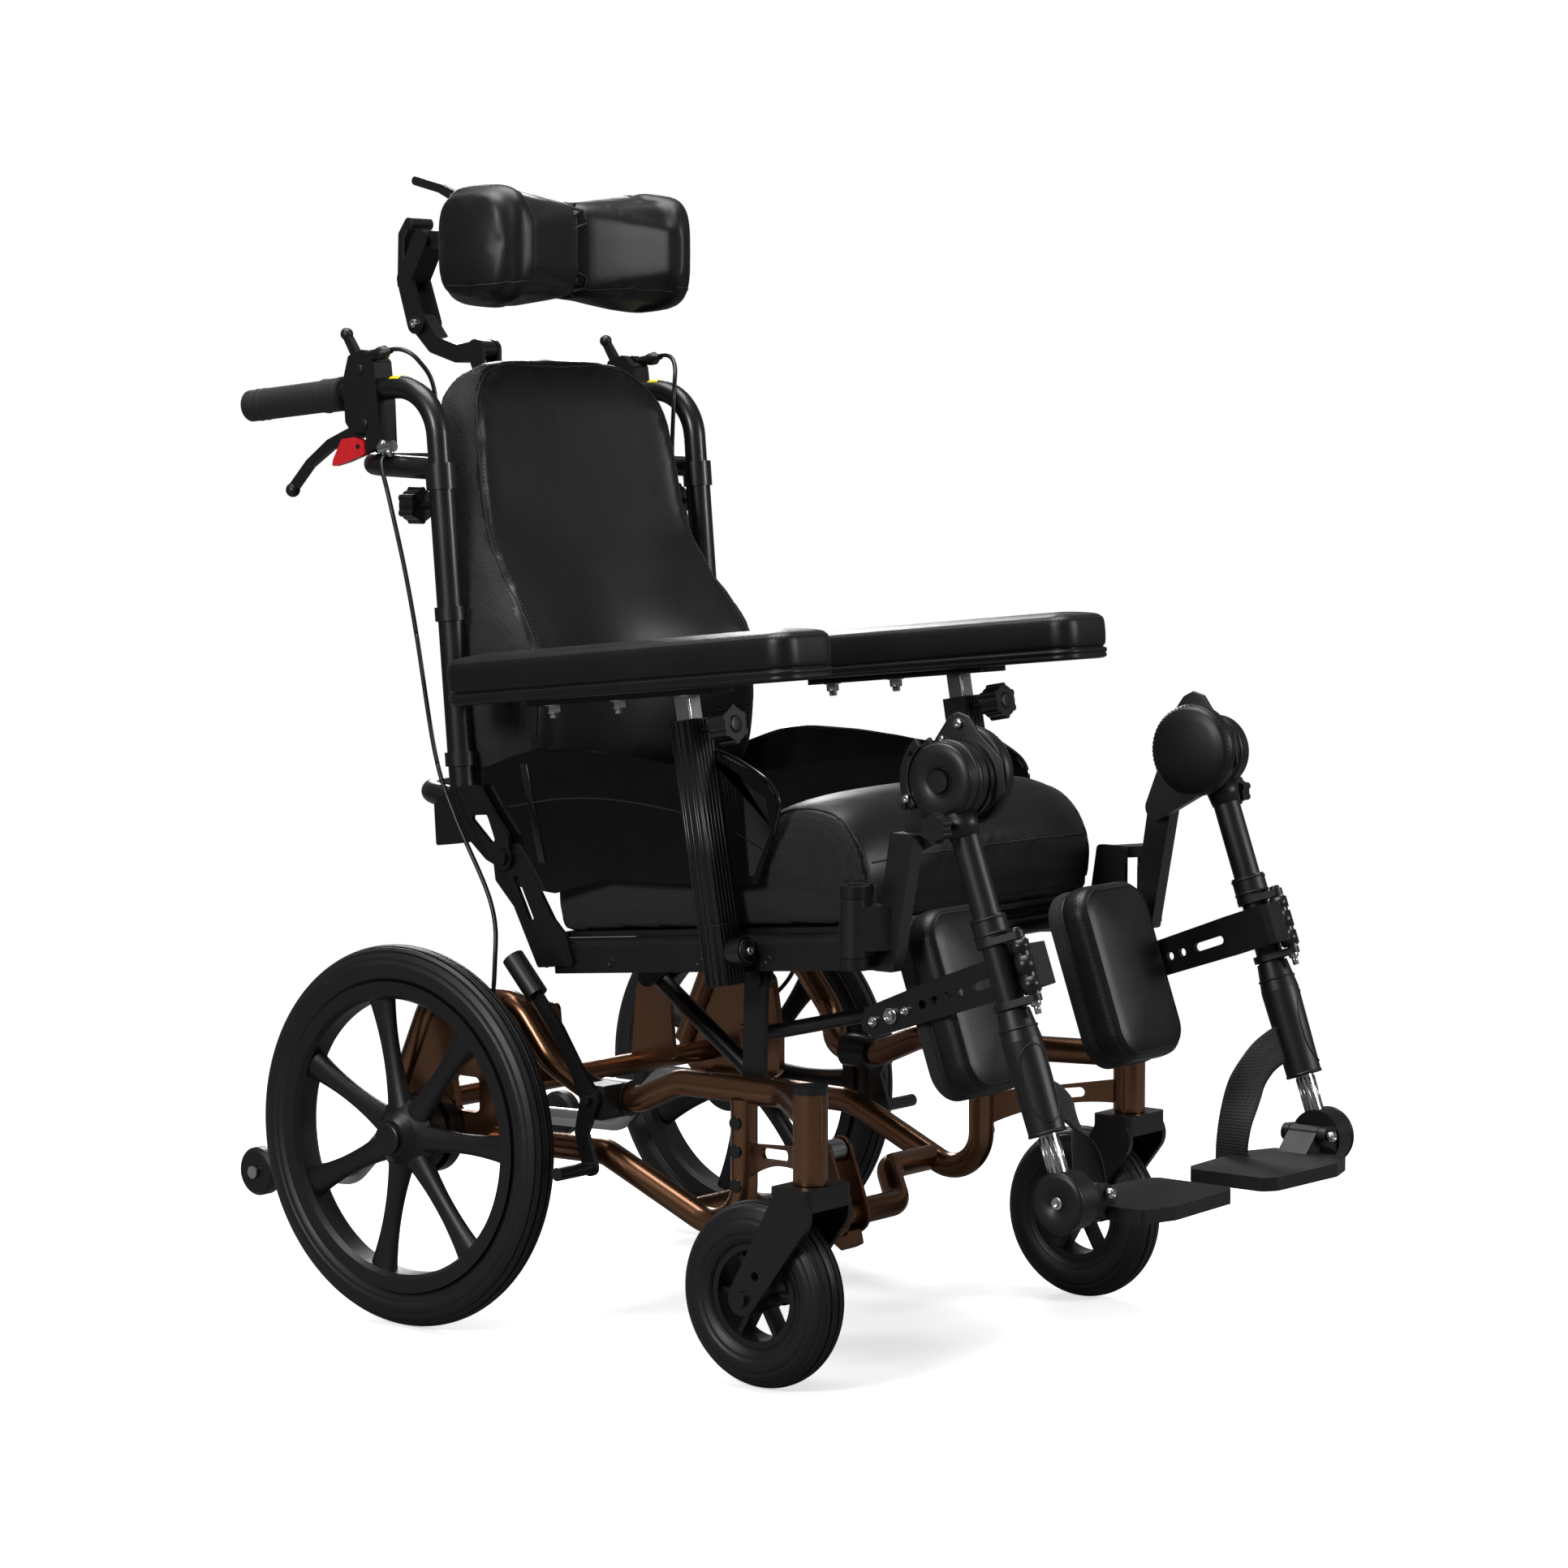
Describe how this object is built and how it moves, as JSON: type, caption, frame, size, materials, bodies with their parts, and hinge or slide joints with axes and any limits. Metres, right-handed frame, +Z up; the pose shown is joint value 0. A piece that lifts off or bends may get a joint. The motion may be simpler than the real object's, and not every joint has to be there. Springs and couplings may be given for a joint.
{
  "type": "tilt in space wheelchair",
  "caption": "Tilt in space wheelchair with a tube base, reclining back, headrest, long armrests, swing-away leg rests with calf pads, and attendant brakes.",
  "frame": {"origin": "on the floor, under the middle of the chair's overall box", "axes": "+Z up, -Y is the way the seated person faces, +X towards their left hand"},
  "size_m": [0.648, 1.1874, 1.244],
  "materials": {
    "frame_bronze": "bronze metallic powder coat",
    "black_metal": "satin black powder coat",
    "black_plastic": "moulded black nylon",
    "wheel_plastic": "glass-filled nylon",
    "tyre": "solid rubber tread",
    "chrome": "polished steel",
    "upholstery": "black coated fabric with a fine grain",
    "guard_gloss": "polished black plastic",
    "cable": "black cable sleeve",
    "grip": "foam rubber",
    "red_plastic": "red moulded plastic",
    "webbing": "black woven webbing"
  },
  "bodies": {
    "base": {"side_frame_right": "frame_bronze", "side_frame_left": "frame_bronze", "cross_frame": "frame_bronze", "frame_fittings": "black_metal", "anti_tip_tubes": "chrome"},
    "rear_wheel_right": {"rear_wheel_right": "wheel_plastic", "rear_tyre_right": "tyre"},
    "castor_fork_right": {"castor_fork_right": "black_metal"},
    "castor_wheel_right": {"castor_wheel_right": "tyre"},
    "anti_tip_wheel_right": {"anti_tip_wheel_right": "wheel_plastic"},
    "wheel_lock_right": {"wheel_lock_lever_right": "black_metal"},
    "rear_wheel_left": {"rear_wheel_left": "wheel_plastic", "rear_tyre_left": "tyre"},
    "castor_fork_left": {"castor_fork_left": "black_metal"},
    "castor_wheel_left": {"castor_wheel_left": "tyre"},
    "anti_tip_wheel_left": {"anti_tip_wheel_left": "wheel_plastic"},
    "wheel_lock_left": {"wheel_lock_lever_left": "black_metal"},
    "seat": {"seat_frame": "black_metal", "seat_cushion": "upholstery", "armrest_sockets": "black_metal", "side_guards": "guard_gloss"},
    "tilt_gas_cylinder": {"tilt_gas_cylinder": "black_metal"},
    "tilt_gas_rod": {"tilt_gas_rod": "chrome"},
    "armrest_right": {"armrest_post_right": "chrome", "armrest_pad_right": "upholstery"},
    "armrest_left": {"armrest_post_left": "chrome", "armrest_pad_left": "upholstery"},
    "back": {"back_frame": "black_metal", "back_cushion": "upholstery", "control_cables": "cable"},
    "push_handle_right": {"push_handle_right": "black_metal", "push_grip_right": "grip"},
    "release_lever_right": {"release_lever_right": "black_plastic"},
    "brake_lever_right": {"brake_lever_right": "black_plastic"},
    "lock_tab_right": {"lock_tab_right": "red_plastic"},
    "push_handle_left": {"push_handle_left": "black_metal", "push_grip_left": "grip"},
    "release_lever_left": {"release_lever_left": "black_plastic"},
    "brake_lever_left": {"brake_lever_left": "black_plastic"},
    "lock_tab_left": {"lock_tab_left": "red_plastic"},
    "headrest_lower": {"headrest_lower_arm": "black_metal"},
    "headrest_upper": {"headrest_upper_arm": "black_metal"},
    "headrest_lever": {"headrest_lever": "black_plastic"},
    "headrest": {"headrest_pad": "upholstery"},
    "legrest_hanger_right": {"legrest_hanger_right": "black_metal", "knee_pad_right": "upholstery"},
    "leg_tube_right": {"leg_tube_right": "black_metal"},
    "calf_support_right": {"calf_bracket_right": "black_metal", "calf_pad_right": "upholstery"},
    "leg_extension_right": {"leg_extension_right": "chrome", "heel_strap_right": "webbing"},
    "footplate_right": {"footplate_right": "black_plastic"},
    "legrest_hanger_left": {"legrest_hanger_left": "black_metal", "knee_pad_left": "upholstery"},
    "leg_tube_left": {"leg_tube_left": "black_metal"},
    "calf_support_left": {"calf_bracket_left": "black_metal", "calf_pad_left": "upholstery"},
    "leg_extension_left": {"leg_extension_left": "chrome", "heel_strap_left": "webbing"},
    "footplate_left": {"footplate_left": "black_plastic"}
  },
  "joints": [
    {"name": "rear_wheel_spin_right", "type": "hinge", "parent": "base", "child": "rear_wheel_right", "pos_m": [-0.293, 0.287, 0.205], "axis": [1, 0, 0], "continuous": true},
    {"name": "castor_swivel_right", "type": "hinge", "parent": "base", "child": "castor_fork_right", "pos_m": [-0.283, -0.254, 0.25], "axis": [0, 0, 1], "continuous": true},
    {"name": "castor_spin_right", "type": "hinge", "parent": "castor_fork_right", "child": "castor_wheel_right", "pos_m": [-0.283, -0.195, 0.095], "axis": [1, 0, 0], "continuous": true},
    {"name": "anti_tip_spin_right", "type": "hinge", "parent": "base", "child": "anti_tip_wheel_right", "pos_m": [-0.252, 0.549, 0.132], "axis": [1, 0, 0], "continuous": true},
    {"name": "wheel_lock_right_pivot", "type": "hinge", "parent": "base", "child": "wheel_lock_right", "pos_m": [-0.256, 0.06, 0.262], "axis": [1, 0, 0], "range_deg": [0, 9]},
    {"name": "rear_wheel_spin_left", "type": "hinge", "parent": "base", "child": "rear_wheel_left", "pos_m": [0.293, 0.287, 0.205], "axis": [1, 0, 0], "continuous": true},
    {"name": "castor_swivel_left", "type": "hinge", "parent": "base", "child": "castor_fork_left", "pos_m": [0.283, -0.254, 0.25], "axis": [0, 0, 1], "continuous": true},
    {"name": "castor_spin_left", "type": "hinge", "parent": "castor_fork_left", "child": "castor_wheel_left", "pos_m": [0.283, -0.195, 0.095], "axis": [1, 0, 0], "continuous": true},
    {"name": "anti_tip_spin_left", "type": "hinge", "parent": "base", "child": "anti_tip_wheel_left", "pos_m": [0.252, 0.549, 0.132], "axis": [1, 0, 0], "continuous": true},
    {"name": "wheel_lock_left_pivot", "type": "hinge", "parent": "base", "child": "wheel_lock_left", "pos_m": [0.256, 0.06, 0.262], "axis": [1, 0, 0], "range_deg": [0, 9]},
    {"name": "tilt", "type": "hinge", "parent": "base", "child": "seat", "pos_m": [0, -0.112, 0.396], "axis": [-1, 0, 0], "range_deg": [-5, 15], "deforming": ["control_cables"]},
    {"name": "tilt_strut_turn", "type": "hinge", "parent": "seat", "child": "tilt_gas_cylinder", "pos_m": [0, 0.18466, 0.35647], "axis": [-1, 0, 0], "range_deg": [-10, 10]},
    {"name": "tilt_strut_stroke", "type": "slide", "parent": "tilt_gas_cylinder", "child": "tilt_gas_rod", "axis": [0, -0.8189, -0.5739], "range_m": [-0.095, 0.03]},
    {"name": "armrest_height_right", "type": "slide", "parent": "seat", "child": "armrest_right", "axis": [0, 0.1754, 0.9845], "range_m": [0, 0.09]},
    {"name": "armrest_height_left", "type": "slide", "parent": "seat", "child": "armrest_left", "axis": [0, 0.1754, 0.9845], "range_m": [0, 0.09]},
    {"name": "recline", "type": "hinge", "parent": "seat", "child": "back", "pos_m": [0, 0.204, 0.504], "axis": [-1, 0, 0], "range_deg": [0, 30], "deforming": ["control_cables"]},
    {"name": "push_handle_height_right", "type": "slide", "parent": "back", "child": "push_handle_right", "axis": [0, 0.0868, 0.9962], "range_m": [0, 0.08]},
    {"name": "release_lever_right_pivot", "type": "hinge", "parent": "push_handle_right", "child": "release_lever_right", "pos_m": [-0.215, 0.408, 1.021], "axis": [-1, 0, 0], "range_deg": [0, 18], "stiffness_Nm_per_rad": 0.5},
    {"name": "brake_lever_right_pivot", "type": "hinge", "parent": "push_handle_right", "child": "brake_lever_right", "pos_m": [-0.215, 0.402, 0.962], "axis": [1, 0, 0], "range_deg": [0, 16], "stiffness_Nm_per_rad": 1},
    {"name": "lock_tab_right_pivot", "type": "hinge", "parent": "push_handle_right", "child": "lock_tab_right", "pos_m": [-0.215, 0.412, 0.938], "axis": [-1, 0, 0], "range_deg": [0, 20], "stiffness_Nm_per_rad": 0.2},
    {"name": "push_handle_height_left", "type": "slide", "parent": "back", "child": "push_handle_left", "axis": [0, 0.0868, 0.9962], "range_m": [0, 0.08]},
    {"name": "release_lever_left_pivot", "type": "hinge", "parent": "push_handle_left", "child": "release_lever_left", "pos_m": [0.215, 0.408, 1.021], "axis": [-1, 0, 0], "range_deg": [0, 18], "stiffness_Nm_per_rad": 0.5},
    {"name": "brake_lever_left_pivot", "type": "hinge", "parent": "push_handle_left", "child": "brake_lever_left", "pos_m": [0.215, 0.402, 0.962], "axis": [1, 0, 0], "range_deg": [0, 16], "stiffness_Nm_per_rad": 1},
    {"name": "lock_tab_left_pivot", "type": "hinge", "parent": "push_handle_left", "child": "lock_tab_left", "pos_m": [0.215, 0.412, 0.938], "axis": [-1, 0, 0], "range_deg": [0, 20], "stiffness_Nm_per_rad": 0.2},
    {"name": "headrest_neck", "type": "hinge", "parent": "back", "child": "headrest_lower", "pos_m": [0, 0.436, 1.046], "axis": [-1, 0, 0], "range_deg": [-20, 15]},
    {"name": "headrest_elbow", "type": "hinge", "parent": "headrest_lower", "child": "headrest_upper", "pos_m": [0, 0.528, 1.077], "axis": [1, 0, 0], "range_deg": [-20, 15]},
    {"name": "headrest_lever_pivot", "type": "hinge", "parent": "headrest_upper", "child": "headrest_lever", "pos_m": [0, 0.425, 1.196], "axis": [1, 0, 0], "range_deg": [0, 35]},
    {"name": "headrest_nod", "type": "hinge", "parent": "headrest_upper", "child": "headrest", "pos_m": [0, 0.392, 1.165], "axis": [1, 0, 0], "range_deg": [-20, 20]},
    {"name": "legrest_swing_right", "type": "hinge", "parent": "seat", "child": "legrest_hanger_right", "pos_m": [-0.262, -0.292, 0.468], "axis": [0, 0, 1], "range_deg": [-90, 0]},
    {"name": "legrest_lift_right", "type": "hinge", "parent": "legrest_hanger_right", "child": "leg_tube_right", "pos_m": [-0.235, -0.387, 0.617], "axis": [-1, 0, 0], "range_deg": [0, 70]},
    {"name": "calf_swing_right", "type": "hinge", "parent": "leg_tube_right", "child": "calf_support_right", "pos_m": [-0.235, -0.47849, 0.44253], "axis": [0, 0.3338, 0.9426], "range_deg": [-90, 0]},
    {"name": "leg_length_right", "type": "slide", "parent": "leg_tube_right", "child": "leg_extension_right", "axis": [0, -0.3338, -0.9426], "range_m": [0, 0.1], "deforming": ["heel_strap_right"]},
    {"name": "footplate_flip_right", "type": "hinge", "parent": "leg_extension_right", "child": "footplate_right", "pos_m": [-0.204, -0.52753, 0.227], "axis": [0, -1, 0], "range_deg": [0, 90]},
    {"name": "legrest_swing_left", "type": "hinge", "parent": "seat", "child": "legrest_hanger_left", "pos_m": [0.262, -0.292, 0.468], "axis": [0, 0, 1], "range_deg": [0, 90]},
    {"name": "legrest_lift_left", "type": "hinge", "parent": "legrest_hanger_left", "child": "leg_tube_left", "pos_m": [0.235, -0.387, 0.617], "axis": [-1, 0, 0], "range_deg": [0, 70]},
    {"name": "calf_swing_left", "type": "hinge", "parent": "leg_tube_left", "child": "calf_support_left", "pos_m": [0.235, -0.47849, 0.44253], "axis": [0, 0.3338, 0.9426], "range_deg": [0, 90]},
    {"name": "leg_length_left", "type": "slide", "parent": "leg_tube_left", "child": "leg_extension_left", "axis": [0, -0.3338, -0.9426], "range_m": [0, 0.1], "deforming": ["heel_strap_left"]},
    {"name": "footplate_flip_left", "type": "hinge", "parent": "leg_extension_left", "child": "footplate_left", "pos_m": [0.204, -0.52753, 0.227], "axis": [0, 1, 0], "range_deg": [0, 90]}
  ],
  "couplings": [
    {"joint": "tilt_strut_turn", "follows": "tilt", "ratio": -0.2094},
    {"joint": "tilt_strut_stroke", "follows": "tilt", "m_per_rad": -0.20896}
  ]
}
